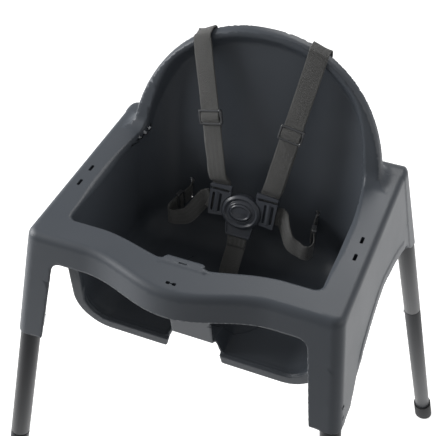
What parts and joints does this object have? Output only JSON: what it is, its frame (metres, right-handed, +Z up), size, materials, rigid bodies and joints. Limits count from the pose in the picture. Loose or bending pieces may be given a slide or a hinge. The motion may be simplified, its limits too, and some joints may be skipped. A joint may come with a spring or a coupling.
{
  "type": "high chair",
  "caption": "Moulded baby high chair: one-piece seat shell with a raised rounded backrest, splayed two-part plug-in tube legs and a webbing harness with a round buckle.",
  "frame": {"origin": "middle of the footprint on the floor", "axes": "+Z up, the sitter faces -Y, +X to the sitter's left-hand side as seen from the front right"},
  "size_m": [0.5976, 0.6249, 0.8538],
  "materials": {
    "shell_plastic": "satin moulded polypropylene, slate grey",
    "leg_plastic": "satin extruded tube, slate grey",
    "foot_rubber": "dark matt rubber",
    "webbing": "herringbone polypropylene webbing, charcoal",
    "buckle_plastic": "fine satin acetal, dark grey",
    "slide_plastic": "polished acetal, dark grey",
    "steel": "zinc plated steel"
  },
  "bodies": {
    "root": {"buckle_back": "buckle_plastic", "buckle_front": "buckle_plastic", "buckle_screws": "steel", "buckle_spring": "steel", "crotch_anchor": "steel", "crotch_strap": "webbing", "seat_shell": "shell_plastic", "shoulder_anchor_left": "steel", "shoulder_anchor_right": "steel", "shoulder_strap_left": "webbing", "shoulder_strap_right": "webbing", "snap_spring_front_left": "steel", "snap_spring_front_right": "steel", "snap_spring_rear_left": "steel", "snap_spring_rear_right": "steel", "socket_screws": "steel", "upper_leg_front_left": "leg_plastic", "upper_leg_front_right": "leg_plastic", "upper_leg_rear_left": "leg_plastic", "upper_leg_rear_right": "leg_plastic", "waist_anchor_left": "steel", "waist_anchor_right": "steel", "waist_strap_left": "webbing", "waist_strap_right": "webbing"},
    "lower_leg_front_left": {"lower_leg_front_left": "leg_plastic", "foot_cap_front_left": "foot_rubber"},
    "snap_button_front_left": {"snap_button_front_left": "steel"},
    "lower_leg_rear_left": {"lower_leg_rear_left": "leg_plastic", "foot_cap_rear_left": "foot_rubber"},
    "snap_button_rear_left": {"snap_button_rear_left": "steel"},
    "lower_leg_front_right": {"lower_leg_front_right": "leg_plastic", "foot_cap_front_right": "foot_rubber"},
    "snap_button_front_right": {"snap_button_front_right": "steel"},
    "lower_leg_rear_right": {"lower_leg_rear_right": "leg_plastic", "foot_cap_rear_right": "foot_rubber"},
    "snap_button_rear_right": {"snap_button_rear_right": "steel"},
    "buckle_tongue_left": {"buckle_tongue_left": "buckle_plastic"},
    "shoulder_adjuster_left": {"shoulder_adjuster_left": "slide_plastic"},
    "waist_adjuster_left": {"waist_adjuster_left": "slide_plastic"},
    "buckle_tongue_right": {"buckle_tongue_right": "buckle_plastic"},
    "shoulder_adjuster_right": {"shoulder_adjuster_right": "slide_plastic"},
    "waist_adjuster_right": {"waist_adjuster_right": "slide_plastic"},
    "buckle_button": {"buckle_button": "buckle_plastic"}
  },
  "joints": [
    {"name": "lower_leg_front_left_pull", "type": "slide", "parent": "root", "child": "lower_leg_front_left", "axis": [-0.1267, -0.1852, -0.9745], "range_m": [0, 0.075], "deforming": ["snap_button_front_left"]},
    {"name": "snap_button_front_left_press", "type": "slide", "parent": "root", "child": "snap_button_front_left", "axis": [-0.9919, 0.0236, 0.1245], "range_m": [0, 0.0047], "stiffness_N_per_m": 1500, "springref_m": -0.001, "deforming": ["snap_spring_front_left"]},
    {"name": "lower_leg_rear_left_pull", "type": "slide", "parent": "root", "child": "lower_leg_rear_left", "axis": [-0.1433, 0.258, -0.9555], "range_m": [0, 0.075], "deforming": ["snap_button_rear_left"]},
    {"name": "snap_button_rear_left_press", "type": "slide", "parent": "root", "child": "snap_button_rear_left", "axis": [-0.9897, -0.0374, 0.1384], "range_m": [0, 0.0047], "stiffness_N_per_m": 1500, "springref_m": -0.001, "deforming": ["snap_spring_rear_left"]},
    {"name": "lower_leg_front_right_pull", "type": "slide", "parent": "root", "child": "lower_leg_front_right", "axis": [0.1267, -0.1852, -0.9745], "range_m": [0, 0.075], "deforming": ["snap_button_front_right"]},
    {"name": "snap_button_front_right_press", "type": "slide", "parent": "root", "child": "snap_button_front_right", "axis": [0.9919, 0.0236, 0.1245], "range_m": [0, 0.0047], "stiffness_N_per_m": 1500, "springref_m": -0.001, "deforming": ["snap_spring_front_right"]},
    {"name": "lower_leg_rear_right_pull", "type": "slide", "parent": "root", "child": "lower_leg_rear_right", "axis": [0.1433, 0.258, -0.9555], "range_m": [0, 0.075], "deforming": ["snap_button_rear_right"]},
    {"name": "snap_button_rear_right_press", "type": "slide", "parent": "root", "child": "snap_button_rear_right", "axis": [0.9897, -0.0374, 0.1384], "range_m": [0, 0.0047], "stiffness_N_per_m": 1500, "springref_m": -0.001, "deforming": ["snap_spring_rear_right"]},
    {"name": "buckle_tongue_left_pull", "type": "slide", "parent": "root", "child": "buckle_tongue_left", "axis": [-1, 0, 0], "range_m": [0, 0.016], "deforming": ["shoulder_strap_left", "waist_strap_left"]},
    {"name": "shoulder_adjuster_left_slide", "type": "slide", "parent": "root", "child": "shoulder_adjuster_left", "axis": [-0.2325, 0.2813, 0.931], "range_m": [-0.03, 0.045]},
    {"name": "waist_adjuster_left_slide", "type": "slide", "parent": "root", "child": "waist_adjuster_left", "axis": [-0.2676, -0.9635, 0], "range_m": [-0.009, 0.009]},
    {"name": "buckle_tongue_right_pull", "type": "slide", "parent": "root", "child": "buckle_tongue_right", "axis": [1, 0, 0], "range_m": [0, 0.016], "deforming": ["shoulder_strap_right", "waist_strap_right"]},
    {"name": "shoulder_adjuster_right_slide", "type": "slide", "parent": "root", "child": "shoulder_adjuster_right", "axis": [0.1631, 0.2839, 0.9449], "range_m": [-0.03, 0.045]},
    {"name": "waist_adjuster_right_slide", "type": "slide", "parent": "root", "child": "waist_adjuster_right", "axis": [0.2676, -0.9635, 0], "range_m": [-0.009, 0.009]},
    {"name": "buckle_button_press", "type": "slide", "parent": "root", "child": "buckle_button", "axis": [0, 0.9272, -0.3746], "range_m": [0, 0.002], "stiffness_N_per_m": 2500, "springref_m": -0.001, "deforming": ["buckle_spring"]}
  ]
}
